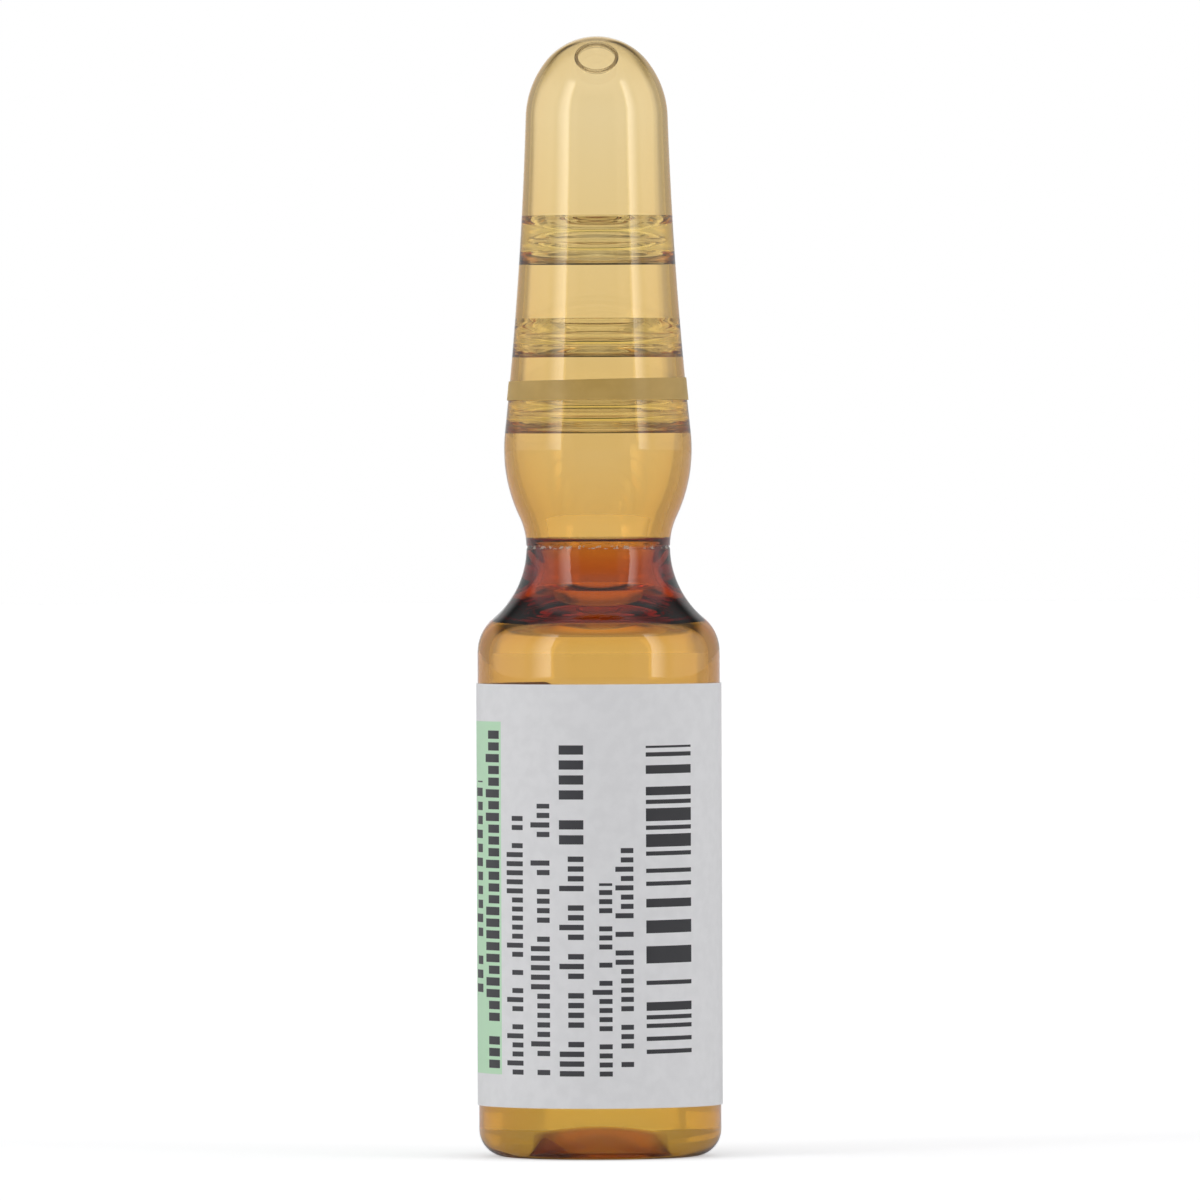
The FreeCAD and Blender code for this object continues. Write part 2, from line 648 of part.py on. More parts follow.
def make_film(name, hollow, height, rim, pocket_height):
    """Two films across the stem with a flat pocket of air between them.

    Both films curl into one rim of liquid, which gathers where they meet the glass
    and closes round the pocket's edge.
    """
    half = f"{pocket_height} / 2"
    reach = f"({half} + film_thickness)"
    bore = f"bow_x - sqrt((stem_bow_radius + tip_wall)^2 - ({height} - bow_z)^2)"
    radius = f"{rim} / cos(wetting_angle)"
    surfaces = [
        Surface(
            height=f"{height} {sign} {reach}",
            flat=f"{bore} - {rim}",
            radius=radius,
            end=f"{height} {sign} ({reach} + {radius})",
        )
        for sign in "-+"
    ]
    sketch = doc.addObject("Sketcher::SketchObject", f"{name}_pocket")
    sketch.Placement = FreeCAD.Placement(FreeCAD.Vector(), UPRIGHT)
    draw_pocket(sketch, height, f"{bore} - {rim}", half, f"{bore} - pocket_inset - pocket_edge_radius")
    pocket = section_face(f"{name}_pocket_face", sketch)
    return make_liquid(name, hollow, *surfaces, pocket=pocket)


def draw_foot(sketch):
    """Section of the rim of liquid round the bubble's foot, about the bubble's own axis."""
    middle = value("bubble_diameter / 2")
    reach = value("bubble_rim")
    outline = Outline(sketch, (middle - reach, reach))
    base = outline.level(middle + reach, reach)
    slope = outline.line(middle, -reach)
    outline.line(middle - reach, reach)
    outline.close()
    outline.across(base, FIRST, "bubble_diameter / 2 - bubble_rim")
    outline.up(base, FIRST, "bubble_rim")
    outline.across(base, LAST, "bubble_diameter / 2 + bubble_rim")
    outline.across(slope, LAST, "bubble_diameter / 2")
    outline.up(slope, LAST, "-bubble_rim")


def make_bubble(cavity):
    """The rim of liquid where a small bubble sits on the glass at the front of the tip."""
    body = doc.addObject("PartDesign::Body", "bubble_foot")
    sketch = start_sketch(body, "bubble_foot_section")
    draw_foot(sketch)
    revolve(body, sketch)
    away = "sqrt((overall_height - crown_wall - crown_z)^2 - (bubble_diameter / 2)^2)"
    tilt = FreeCAD.Rotation(FreeCAD.Vector(1, 0, 0), 1)
    body.Placement = FreeCAD.Placement(FreeCAD.Vector(), tilt)
    body.setExpression("Placement.Rotation.Angle", cells("90 - bubble_latitude"))
    body.setExpression("Placement.Base.y", cells(f"-{away} * cos(bubble_latitude)"))
    body.setExpression("Placement.Base.z", cells(f"crown_z + {away} * sin(bubble_latitude)"))
    doc.recompute()
    return boolean("Part::Common", "tip_bubble", cavity, body)


outside = turn_profile(
    "glass_outside",
    inset=Inset("0", "0", "0", "0"),
    neck=Neck("neck_diameter / 2", "neck_height", "lower_flank_radius", None, None),
    foot="0",
    punt="punt_height",
    crown="overall_height",
)
cut_score(outside)
cavity = turn_profile(
    "cavity",
    inset=Inset("barrel_wall", "neck_wall", "bulb_wall", "tip_wall"),
    neck=Neck(
        "bore_diameter / 2",
        "neck_height - bore_drop",
        "bore_lower_radius",
        "bore_upper_radius",
        "neck_height + ledge_rise",
    ),
    foot="base_thickness",
    punt="punt_height + base_thickness",
    crown="overall_height - crown_wall",
)
hollow = section_face("cavity_section", doc.getObject("cavity_profile"))
parts = [
    boolean("Part::Cut", "glass_envelope", outside, cavity),
    make_ring(),
    make_label(),
    make_charge(hollow),
    make_plug(hollow),
    make_film("film_lower", hollow, "neck_height + lower_film_height", "lower_film_rim", "lower_pocket_height"),
    make_film("film_middle", hollow, "neck_height + middle_film_height", "middle_film_rim", "middle_pocket_height"),
    make_film("film_upper", hollow, "neck_height + upper_film_height", "upper_film_rim", "upper_pocket_height"),
    make_bubble(cavity),
]
doc.recompute()

for item in doc.Objects:
    if "Invalid" in item.State or "Error" in item.State:
        raise RuntimeError(f"{item.Label} did not build: {item.State}")
    if item.isDerivedFrom("Sketcher::SketchObject") and not item.FullyConstrained:
        raise RuntimeError(f"{item.Label} is not fully constrained")
os.makedirs("parts", exist_ok=True)
for part in parts:
    if part.Shape.isNull() or not part.Shape.isValid() or len(part.Shape.Solids) != 1:
        raise RuntimeError(f"{part.Label} is not one valid solid")
    part.Shape.exportStep(f"parts/{part.Label}.step")
    print(part.Label, round(part.Shape.Volume, 3), "mm3")
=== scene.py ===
import math

import bpy
import numpy as np
from mathutils import Matrix


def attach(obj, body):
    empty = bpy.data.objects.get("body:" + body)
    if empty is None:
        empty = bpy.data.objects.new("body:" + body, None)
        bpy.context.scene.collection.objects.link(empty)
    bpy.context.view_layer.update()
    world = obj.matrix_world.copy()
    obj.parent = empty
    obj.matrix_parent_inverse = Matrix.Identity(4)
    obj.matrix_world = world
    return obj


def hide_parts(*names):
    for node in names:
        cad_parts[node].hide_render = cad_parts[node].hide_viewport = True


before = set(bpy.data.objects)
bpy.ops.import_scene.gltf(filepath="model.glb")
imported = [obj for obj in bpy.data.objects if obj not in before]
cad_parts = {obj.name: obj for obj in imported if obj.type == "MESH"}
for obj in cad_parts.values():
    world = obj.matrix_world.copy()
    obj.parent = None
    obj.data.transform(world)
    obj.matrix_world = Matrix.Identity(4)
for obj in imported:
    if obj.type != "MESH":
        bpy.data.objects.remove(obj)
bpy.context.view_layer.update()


# The view: a long lens level with the stem, looking a touch downwards. The
# ampoule stood a fifth of a degree off upright in it.

MM = 0.001
VIEW_PLACE = (0.07 * MM, -725.0 * MM, 30.5 * MM)
DEGREES_DOWN, DEGREES_OFF_UPRIGHT = 0.46, 0.21

camera_data = bpy.data.cameras.new("camera")
camera_data.sensor_width = 36.0
camera_data.lens = 490.0
camera_data.clip_start = 0.05
camera_data.clip_end = 20.0
camera = bpy.data.objects.new("camera", camera_data)
bpy.context.scene.collection.objects.link(camera)
tilt = Matrix.Rotation(math.radians(90.0 - DEGREES_DOWN), 4, "X")
roll = Matrix.Rotation(math.radians(-DEGREES_OFF_UPRIGHT), 4, "Z")
camera.matrix_world = Matrix.Translation(VIEW_PLACE) @ tilt @ roll
bpy.context.scene.camera = camera
bpy.context.scene.view_settings.view_transform = "Standard"

# the rims of liquid pass light on through many surfaces before it gets out
bpy.context.scene.cycles.max_bounces = 32
bpy.context.scene.cycles.glossy_bounces = 32
bpy.context.scene.cycles.transmission_bounces = 32


# The surroundings, all light and no lamp: a pale tent, brightest at its sides,
# with two tall softboxes in front left and right. A card stands behind the
# ampoule with dim gaps beside and above it, and the camera dims the front.

TENT_LIGHT, BOX_LIGHT, CARD_LIGHT, SIDE_LIGHT = 0.76, 3.0, 0.16, 0.3
GAP_SHADE, CAMERA_SHADE, TOP_SHADE = 0.22, 0.25, 0.45
GAP_BESIDE_CARD = 1.2

# bands of angle in degrees: where each starts, is full from, is full to and ends
LEFT_BOX = (45.5, 47.0, 47.5, 74.0)
RIGHT_BOX = (51.0, 52.5, 53.0, 72.0)
BOX_RISE = (-40.0, -30.0, 40.0, 47.0)
TENT_SIDES = (68.0, 80.0, 112.0, 128.0)
BEHIND = (-48.0, -38.0, 38.0, 48.0)
ROUND_CARD = (-16.0, -12.5, 8.0, 11.5)
CARD = (-12.5, -11.0, 6.5, 8.0)
TOP_BREADTH = (-75.0, -55.0, 55.0, 75.0)
TOP_RISE = (18.0, 30.0, 62.0, 76.0)
CAMERA_EDGE = (28.0, 34.0)
LEVEL_EDGE = (25.0, 45.0)
DEGREES = 180.0 / math.pi


def feed(tree, node, name, value):
    """Sets one input of a node, or links another node's output to it."""
    if isinstance(value, bpy.types.NodeSocket):
        tree.links.new(value, node.inputs[name])
    else:
        node.inputs[name].default_value = value


def add(tree, kind, **inputs):
    """A new node with its inputs fed, where an underscore stands for the space in a name."""
    node = tree.nodes.new(kind)
    for name, value in inputs.items():
        feed(tree, node, name.replace("_", " "), value)
    return node


def maths(tree, operation, *values):
    """The result of a Math node on numbers or other nodes' outputs."""
    node = tree.nodes.new("ShaderNodeMath")
    node.operation = operation
    for number, value in enumerate(values):
        feed(tree, node, number, value)
    return node.outputs[0]


def axes(tree, place):
    """The x, y and z of a place or a direction."""
    split = add(tree, "ShaderNodeSeparateXYZ", Vector=place)
    return split.outputs["X"], split.outputs["Y"], split.outputs["Z"]


def bearing(tree, east, north):
    """The angle from north towards east, in degrees."""
    return maths(tree, "MULTIPLY", maths(tree, "ARCTAN2", east, north), DEGREES)


def ramp(tree, value, low, high):
    """Rises smoothly from 0 at the low value to 1 at the high one."""
    node = add(tree, "ShaderNodeMapRange", Value=value, From_Min=low, From_Max=high)
    node.interpolation_type = "SMOOTHSTEP"
    return node.outputs["Result"]


def window(tree, value, start, full_from, full_to, end):
    """1 between two values, falling smoothly to 0 outside them."""
    rising = ramp(tree, value, start, full_from)
    falling = ramp(tree, value, full_to, end)
    return maths(tree, "MULTIPLY", rising, maths(tree, "SUBTRACT", 1.0, falling))


world = bpy.data.worlds.new("surroundings")
bpy.context.scene.world = world
world.use_nodes = True
air = world.node_tree
air.nodes.clear()
east, north, up = axes(air, add(air, "ShaderNodeTexCoord").outputs["Generated"])
turn = bearing(air, east, maths(air, "MULTIPLY", north, -1.0))
left = maths(air, "MULTIPLY", turn, -1.0)
away = maths(air, "ABSOLUTE", turn)
back = bearing(air, east, north)
rise = maths(air, "MULTIPLY", maths(air, "ARCSINE", up), DEGREES)
near_level = maths(air, "SUBTRACT", 1.0, ramp(air, maths(air, "ABSOLUTE", rise), *LEVEL_EDGE))

boxes = maths(air, "ADD", window(air, left, *LEFT_BOX), window(air, turn, *RIGHT_BOX))
boxes = maths(air, "MULTIPLY", boxes, window(air, rise, *BOX_RISE))
card = window(air, back, *CARD)
top = maths(air, "MULTIPLY", window(air, back, *TOP_BREADTH), window(air, rise, *TOP_RISE))
sides = window(air, away, *TENT_SIDES)
patch = maths(air, "SUBTRACT", 1.0, ramp(air, away, *CAMERA_EDGE))
behind = window(air, back, *BEHIND)
beside_card = maths(air, "SUBTRACT", behind, window(air, back, *ROUND_CARD))
gaps = maths(air, "SUBTRACT", maths(air, "SUBTRACT", 1.0, behind), sides)
gaps = maths(air, "MULTIPLY_ADD", beside_card, GAP_BESIDE_CARD, gaps)

level = 0.0
for share, light in ((gaps, -GAP_SHADE), (patch, -CAMERA_SHADE), (sides, SIDE_LIGHT)):
    level = maths(air, "MULTIPLY_ADD", share, light, level)
level = maths(air, "MULTIPLY_ADD", level, near_level, TENT_LIGHT)
for share, light in ((boxes, BOX_LIGHT), (card, CARD_LIGHT), (top, -TOP_SHADE)):
    level = maths(air, "MULTIPLY_ADD", share, light, level)

by_camera = add(air, "ShaderNodeLightPath").outputs["Is Camera Ray"]
glow = add(air, "ShaderNodeBackground", Color=(1, 1, 1, 1), Strength=maths(air, "MAXIMUM", level, by_camera))
add(air, "ShaderNodeOutputWorld", Surface=glow.outputs[0])


# The table: a wide sheet of white card under the ampoule, lit so that it shows
# white and keeps only the soft shadow round the foot. Through the glass it shows
# dimmer, with painted shade that fades it out towards the foot, and a painted
# reflection of the card: it is least dim in a strip that runs from the foot to the card.

TABLE_HALF = 3.0
TABLE_SHOWN, TABLE_THROUGH_GLASS, PAINTED_REFLECTION_LIGHT = 0.45, 0.04, 0.22
# bearings of the painted reflection of the card on the table, in degrees
PAINTED_REFLECTION_BAND = (-19.5, -17.5, 10.5, 12.5)
SHADE_REACH = 90.0


def blend(tree, factor, first, second):
    """A mix of two colours, from the first at factor 0 to the second at 1."""
    node = tree.nodes.new("ShaderNodeMix")
    node.data_type = "RGBA"
    feed(tree, node, "Factor", factor)
    feed(tree, node, "A", first)
    feed(tree, node, "B", second)
    return node.outputs["Result"]


def noise(tree, place, scale, detail):
    """Cloudy noise, with a scale in clouds to the metre and finer clouds in it."""
    return add(tree, "ShaderNodeTexNoise", Vector=place, Scale=scale, Detail=detail).outputs["Fac"]


corners = [(-TABLE_HALF, -TABLE_HALF, 0), (TABLE_HALF, -TABLE_HALF, 0),
           (TABLE_HALF, TABLE_HALF, 0), (-TABLE_HALF, TABLE_HALF, 0)]
table_mesh = bpy.data.meshes.new("table_card")
table_mesh.from_pydata(corners, [], [(0, 1, 2, 3)])
table = bpy.data.objects.new("table_card", table_mesh)
bpy.context.scene.collection.objects.link(table)

card_stock = bpy.data.materials.new("table_card")
card_stock.use_nodes = True
tree = card_stock.node_tree
tree.nodes.clear()
place = add(tree, "ShaderNodeTexCoord").outputs["Object"]
fibre = noise(tree, place, 1400.0, 3.0)
tone = blend(tree, fibre, (0.80, 0.80, 0.81, 1), (0.84, 0.84, 0.85, 1))
matt = add(tree, "ShaderNodeBsdfDiffuse", Color=tone)
from_foot = add(tree, "ShaderNodeVectorMath", Vector=place)
from_foot.operation = "LENGTH"
# painted shade: through the glass the table's glow fades out towards the foot
outside_painted_shade = ramp(tree, from_foot.outputs["Value"], 0.0, SHADE_REACH * MM)
east, north, up = axes(tree, place)
# painted reflection of the card: a brighter strip through the glass, from the foot towards the card
painted_reflection = window(tree, bearing(tree, east, north), *PAINTED_REFLECTION_BAND)
rays = add(tree, "ShaderNodeLightPath").outputs
by_eye = maths(tree, "MULTIPLY", rays["Is Camera Ray"], TABLE_SHOWN)
through_glass = maths(tree, "MULTIPLY_ADD", painted_reflection, PAINTED_REFLECTION_LIGHT, TABLE_THROUGH_GLASS)
through_glass = maths(tree, "MULTIPLY", rays["Is Transmission Ray"], through_glass)
through_glass = maths(tree, "MULTIPLY", through_glass, outside_painted_shade)
lit = add(tree, "ShaderNodeEmission", Strength=maths(tree, "MAXIMUM", by_eye, through_glass))
both = tree.nodes.new("ShaderNodeAddShader")
feed(tree, both, 0, matt.outputs[0])
feed(tree, both, 1, lit.outputs[0])
add(tree, "ShaderNodeOutputMaterial", Surface=both.outputs[0])
table_mesh.materials.append(card_stock)


# The glass envelope: one piece of amber tube, drawn down to the neck, blown out
# to the bulb, drawn to the stem and sealed in a flame. In the neck the soft glass
# gathered inwards up to a ledge, and a fine groove shows where it is to snap.

glass_box = np.array(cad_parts["glass_envelope"].bound_box)
HEIGHT = round(float(glass_box[:, 2].max()) / MM, 2)
BARREL_R = round(float(glass_box[:, 1].max()) / MM, 3)
BULB_R, STEM_TOP_R, STEM_TOP_Z = 4.17, 3.16, HEIGHT - 3.7
NECK_R, NECK_Z = 3.19, 27.05
PUNT_R, PUNT_Z = 3.45, 0.9
GROOVE_HALF, GROOVE_DEPTH = 0.08, 0.05
BORE_R, BORE_Z, LEDGE_Z = 1.8, 25.9, 27.38
WALLS = {"foot": 0.5, "barrel": 0.5, "neck": 0.47, "bulb": 0.39, "stem": 0.22, "crown": 0.2}
CROWN_Z = HEIGHT - WALLS["crown"]

# radii of the arcs of the outside, and of the two arcs of the bore
EDGE_ARC, CORNER_ARC, SHOULDER_ARC = 0.5, 1.2, 1.9
UNDER_NECK_ARC, OVER_NECK_ARC = 4.1, 3.1
BULB_ARC, STEM_ARC, STEM_TOP_ARC = 7.0, 185.0, 4.2
UNDER_BORE_ARC, OVER_BORE_ARC = 2.19, 2.27
SIDE_ROWS = 12


def arc(centre, radius, start, end, step=2.5):
    """Points on a circle from one angle to another, in degrees, end point left out."""
    count = max(2, int(math.ceil(abs(end - start) / step)))
    angle = np.radians(np.linspace(start, end, count, endpoint=False))
    return np.stack([centre[0] + radius * np.cos(angle), centre[1] + radius * np.sin(angle)], axis=1)


def angle_to(a, b):
    """Direction in degrees from one point to another."""
    return math.degrees(math.atan2(b[1] - a[1], b[0] - a[0]))


def groove_stretch(over_r):
    """The outside at the groove: the circle under it, the groove, and the angle over it.

    The groove's sides are straight, from its lower edge to its bottom and from there up
    to the arc above it, which starts at the angle where it is half a groove up.
    """
    under_c, under_r = (NECK_R + UNDER_NECK_ARC, NECK_Z), UNDER_NECK_ARC
    groove = [(NECK_R, NECK_Z - GROOVE_HALF), (NECK_R - GROOVE_DEPTH, NECK_Z)]
    return under_c, under_r, groove, 180.0 - math.degrees(math.asin(GROOVE_HALF / over_r))


def bore_stretch(lap, over_r):
    """The hollow at the bore: the circle under it, the bore and ledge, and the angle over them.

    The bore's upper arc rises from its narrowest place to the ledge, which runs level out
    to the hollow's arc above the neck. That arc starts at the angle where it is as high.
    """
    under_c, under_r = (BORE_R + UNDER_BORE_ARC, BORE_Z), UNDER_BORE_ARC - lap
    rise_c, rise_r = (BORE_R + OVER_BORE_ARC, BORE_Z), OVER_BORE_ARC - lap
    ledge_angle = math.degrees(math.asin((LEDGE_Z - BORE_Z) / rise_r))
    rim = (rise_c[0] - math.sqrt(rise_r ** 2 - (LEDGE_Z - BORE_Z) ** 2), LEDGE_Z)
    narrow = np.concatenate([arc(rise_c, rise_r, 180.0, 180.0 - ledge_angle), [rim]])
    return under_c, under_r, narrow, 180.0 - math.degrees(math.asin((LEDGE_Z - NECK_Z) / over_r))


def glass_profile(hollow, lap=0.0):
    """Half a profile of the glass, from the axis over the foot to the axis at the crown.

    It is the outside's, or the hollow's, which lies a wall's thickness further in and has
    the bore in the neck. A lap takes the hollow's that far into the glass. But for the
    straight side, the groove and the ledge, it is all arcs that meet with no corner: two
    meet on the line between their centres, which are the sum of their radii apart, or the
    difference where both curve the same way.
    """
    wall = {part: thickness - lap if hollow else 0.0 for part, thickness in WALLS.items()}
    foot, punt, crown = wall["foot"], PUNT_Z + wall["foot"], HEIGHT - wall["crown"]

    height = punt - foot
    punt_c = (0.0, punt - (PUNT_R ** 2 + height ** 2) / (2 * height))
    punt_r = punt - punt_c[1]
    edge_z = foot + EDGE_ARC
    edge_c = (math.sqrt((punt_r + EDGE_ARC) ** 2 - (edge_z - punt_c[1]) ** 2), edge_z)
    corner_r = CORNER_ARC - wall["barrel"]
    corner_c = (BARREL_R - wall["barrel"] - corner_r, foot + corner_r)

    over_c, over_r = (NECK_R + OVER_NECK_ARC, NECK_Z), OVER_NECK_ARC + wall["neck"]
    under_c, under_r, narrow, over_start = bore_stretch(lap, over_r) if hollow else groove_stretch(over_r)
    shoulder_r = SHOULDER_ARC - wall["barrel"]
    shoulder_x = BARREL_R - SHOULDER_ARC
    fall = math.sqrt((shoulder_r + under_r) ** 2 - (under_c[0] - shoulder_x) ** 2)
    shoulder_c = (shoulder_x, under_c[1] - fall)
    side_z = np.linspace(corner_c[1], shoulder_c[1], SIDE_ROWS, endpoint=False)
    side = np.stack([np.full_like(side_z, BARREL_R - wall["barrel"]), side_z], axis=1)

    bulb_r, stem_r, turn_r = BULB_ARC - wall["bulb"], STEM_ARC + wall["stem"], STEM_TOP_ARC - wall["stem"]
    bulb_x = BULB_R - BULB_ARC
    bulb_c = (bulb_x, NECK_Z + math.sqrt((over_r + bulb_r) ** 2 - (over_c[0] - bulb_x) ** 2))
    turn_c = (STEM_TOP_R - STEM_TOP_ARC, STEM_TOP_Z)
    gap = math.dist(bulb_c, turn_c)
    along = ((bulb_r + stem_r) ** 2 - (turn_r + stem_r) ** 2 + gap ** 2) / (2 * gap)
    aside = math.sqrt((bulb_r + stem_r) ** 2 - along ** 2)
    ux, uz = (turn_c[0] - bulb_c[0]) / gap, (turn_c[1] - bulb_c[1]) / gap
    stem_c = (bulb_c[0] + ux * along + uz * aside, bulb_c[1] + uz * along - ux * aside)
    short = turn_r - crown
    crown_c = (0.0, (turn_c[0] ** 2 + turn_c[1] ** 2 - short ** 2) / (2 * (turn_c[1] + short)))
    crown_start = angle_to(turn_c, crown_c)

    profile = np.concatenate([
        arc(punt_c, punt_r, 90.0, angle_to(punt_c, edge_c), step=4.0),
        arc(edge_c, EDGE_ARC, angle_to(edge_c, punt_c), -90.0, step=6.0),
        arc(corner_c, corner_r, -90.0, 0.0, step=5.0),
        side,
        arc(shoulder_c, shoulder_r, 0.0, angle_to(shoulder_c, under_c)),
        arc(under_c, under_r, angle_to(under_c, shoulder_c) % 360.0, 180.0),
        narrow,
        arc(over_c, over_r, over_start, angle_to(over_c, bulb_c)),
        arc(bulb_c, bulb_r, angle_to(bulb_c, over_c), angle_to(bulb_c, stem_c)),
        arc(stem_c, stem_r, angle_to(stem_c, bulb_c) % 360.0, angle_to(stem_c, turn_c) % 360.0, step=0.2),
        arc(turn_c, turn_r, angle_to(turn_c, stem_c), crown_start),
        arc(crown_c, crown - crown_c[1], crown_start, 90.0),
        [(0.0, crown)],
    ])
    profile[0, 0] = 0.0
    return profile


def turned(rows, sides, closed=False):
    """Rows of a profile turned about the axis, and the faces between each row and the next.

    At even angles all round, x and y are the row's radius times the angle's cosine and
    sine. A closed section has faces from its last row to its first too.
    """
    angle = np.linspace(0.0, 2.0 * np.pi, sides, endpoint=False)
    x = rows[:, :1] * np.cos(angle)
    y = rows[:, :1] * np.sin(angle)
    z = np.repeat(rows[:, 1:], sides, axis=1)
    points = np.stack([x, y, z], axis=2).reshape(-1, 3)
    grid = np.arange(len(rows) * sides).reshape(len(rows), sides)
    low, high = (grid, np.roll(grid, -1, axis=0)) if closed else (grid[:-1], grid[1:])
    quads = np.stack([low, np.roll(low, -1, axis=1), np.roll(high, -1, axis=1), high], axis=2)
    return points, quads.reshape(-1, 4).tolist(), grid


def lathe(profile, sides=160, inward=False):
    """A profile turned about the axis and closed with a fan of faces at both poles.

    Returns the points in metres and the faces, which look away from the axis, or
    towards it if they are to look inward.
    """
    points, faces, grid = turned(profile[1:-1], sides)
    low, high = len(points), len(points) + 1
    points = np.concatenate([points, [(0, 0, profile[0, 1])], [(0, 0, profile[-1, 1])]]) * MM
    base = np.stack([np.full(sides, low), np.roll(grid[0], -1), grid[0]], axis=1)
    head = np.stack([np.full(sides, high), grid[-1], np.roll(grid[-1], -1)], axis=1)
    faces += base.tolist() + head.tolist()
    if inward:
        faces = [face[::-1] for face in faces]
    return points, faces


def new_piece(name, shells, material):
    """One smooth object from shells of points and faces."""
    points, faces, start = [], [], 0
    for shell_points, shell_faces in shells:
        points.append(shell_points)
        faces += [[v + start for v in face] for face in shell_faces]
        start += len(shell_points)
    mesh = bpy.data.meshes.new(name)
    mesh.from_pydata(np.concatenate(points).tolist(), [], faces)
    mesh.polygons.foreach_set("use_smooth", np.ones(len(faces), dtype=bool))
    mesh.materials.append(material)
    mesh.update()
    piece = bpy.data.objects.new(name, mesh)
    bpy.context.scene.collection.objects.link(piece)
    return piece


def new_group(name, inputs, outputs):
    """A node group with named number inputs, and its input and output nodes."""
    group = bpy.data.node_groups.new(name, "ShaderNodeTree")
    for title, value in inputs.items():
        group.interface.new_socket(title, in_out="INPUT", socket_type="NodeSocketFloat").default_value = value
    for title, kind in outputs.items():
        group.interface.new_socket(title, in_out="OUTPUT", socket_type=kind)
    return group, group.nodes.new("NodeGroupInput").outputs, group.nodes.new("NodeGroupOutput")


# a faint waver of the surface, in streaks that can be longer along the axis
waver, given, result = new_group(
    "surface_waver",
    {"Streaks Across": 700.0, "Streaks Along": 40.0, "Depth": 1.0e-6},
    {"Normal": "NodeSocketVector"},
)
place = add(waver, "ShaderNodeTexCoord").outputs["Object"]
rates = add(waver, "ShaderNodeCombineXYZ", X=given["Streaks Across"], Y=given["Streaks Across"],
            Z=given["Streaks Along"])
stretched = waver.nodes.new("ShaderNodeVectorMath")
stretched.operation = "MULTIPLY"
feed(waver, stretched, 0, place)
feed(waver, stretched, 1, rates.outputs[0])
streaks = noise(waver, stretched.outputs[0], 1.0, 1.0)
relief = add(waver, "ShaderNodeBump", Strength=1.0, Distance=given["Depth"], Height=streaks)
feed(waver, result, "Normal", relief.outputs[0])


def new_material(name):
    """A material, with its node tree, its Principled shader and its output."""
    material = bpy.data.materials.new(name)
    material.use_nodes = True
    tree = material.node_tree
    return material, tree, tree.nodes["Principled BSDF"], tree.nodes["Material Output"]


def clear_material(name, ior, absorb, density, across, along, depth):
    """A clear material that takes colour from the depth of it that light crosses."""
    material, tree, shader, output = new_material(name)
    feed(tree, shader, "Base Color", (1, 1, 1, 1))
    feed(tree, shader, "Roughness", 0.0)
    feed(tree, shader, "IOR", ior)
    feed(tree, shader, "Transmission Weight", 1.0)
    surface = tree.nodes.new("ShaderNodeGroup")
    surface.node_tree = waver
    feed(tree, surface, "Streaks Across", across)
    feed(tree, surface, "Streaks Along", along)
    feed(tree, surface, "Depth", depth)
    feed(tree, shader, "Normal", surface.outputs["Normal"])
    inside = add(tree, "ShaderNodeVolumeAbsorption", Color=absorb, Density=density)
    feed(tree, output, "Volume", inside.outputs[0])
    return material


def cover(tree, share, under, over):
    """One shader over another, where the share of the upper one is 0 to 1."""
    node = tree.nodes.new("ShaderNodeMixShader")
    for number, value in enumerate((share, under, over)):
        feed(tree, node, number, value)
    return node.outputs[0]


def beyond(tree, place, radius):
    """1 further from the axis than a radius, and 0 nearer to it."""
    east, north, up = axes(tree, place)
    squares = maths(tree, "ADD", maths(tree, "MULTIPLY", east, east), maths(tree, "MULTIPLY", north, north))
    return maths(tree, "GREATER_THAN", squares, radius ** 2)


amber = clear_material("amber_glass", 1.51, (0.903, 0.669, 0.02, 1), 2300.0, 500.0, 25.0, 0.4e-6)

# the ground floor of the groove: grains of bare, broken glass in a thin band
GROUND_BAND = (26.94 * MM, 26.98 * MM, 27.08 * MM, 27.12 * MM)
GROUND_FROM_R, GROUND_SHARE = 2.9, 0.6
tree = amber.node_tree
place = add(tree, "ShaderNodeTexCoord").outputs["Object"]
band = window(tree, axes(tree, place)[2], *GROUND_BAND)
ground = maths(tree, "MULTIPLY", band, ramp(tree, noise(tree, place, 5200.0, 1.0), 0.47, 0.6))
ground = maths(tree, "MULTIPLY", ground, beyond(tree, place, GROUND_FROM_R * MM))
ground = maths(tree, "MULTIPLY", ground, GROUND_SHARE)
dust = add(tree, "ShaderNodeBsdfDiffuse", Color=(0.55, 0.5, 0.42, 1))
clear = tree.nodes["Principled BSDF"].outputs[0]
feed(tree, tree.nodes["Material Output"], "Surface", cover(tree, ground, clear, dust.outputs[0]))

cavity = glass_profile(hollow=True)
shells = [lathe(glass_profile(hollow=False)), lathe(cavity, inward=True)]
envelope = new_piece("blown_envelope", shells, amber)
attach(envelope, "root")
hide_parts("glass_envelope")


# The enamel ring: a thin line of khaki glass paste fired on the stem, its upper
# edge a little slanted. It is thin enough for some of the light behind it to
# come through, and has a few grains and pinholes in it.

BARE_SHARE = 0.35

